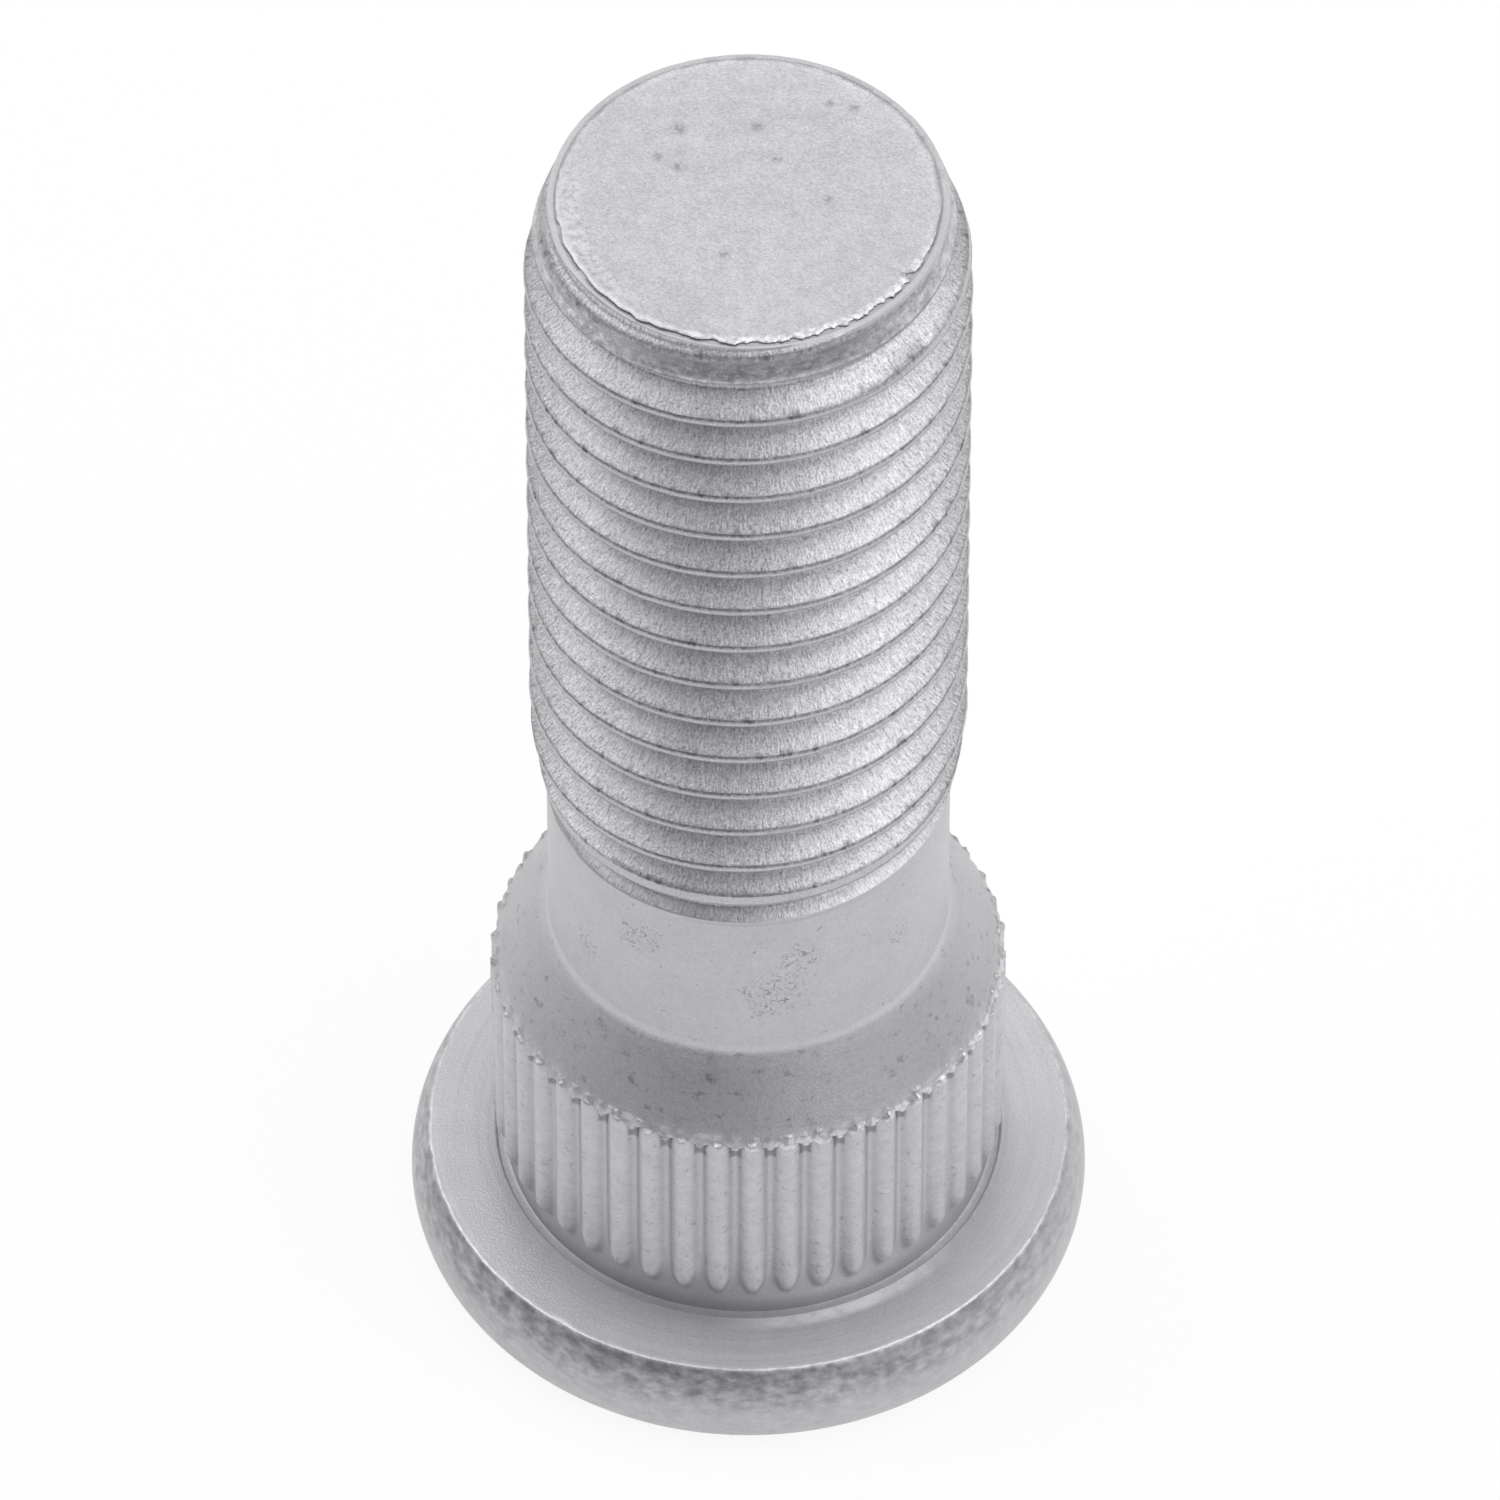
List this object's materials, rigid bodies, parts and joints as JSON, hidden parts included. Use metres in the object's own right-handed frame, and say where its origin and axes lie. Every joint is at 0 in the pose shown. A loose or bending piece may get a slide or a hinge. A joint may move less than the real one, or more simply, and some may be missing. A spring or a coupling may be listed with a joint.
{
  "type": "wheel stud",
  "caption": "Press-in wheel stud: round head, knurled collar with a conical lead-in, plain shank and a long fine-pitch thread with a tapered end.",
  "frame": {"origin": "centre of the underside of the head, on which the stud stands", "axes": "+Z along the stud's axis towards its threaded end, and -Y is the side that faces the camera in the picture"},
  "size_m": [0.0188, 0.0188, 0.0411],
  "materials": {
    "coated_steel": "satin"
  },
  "bodies": {
    "root": {"wheel_stud": "coated_steel"}
  },
  "joints": []
}
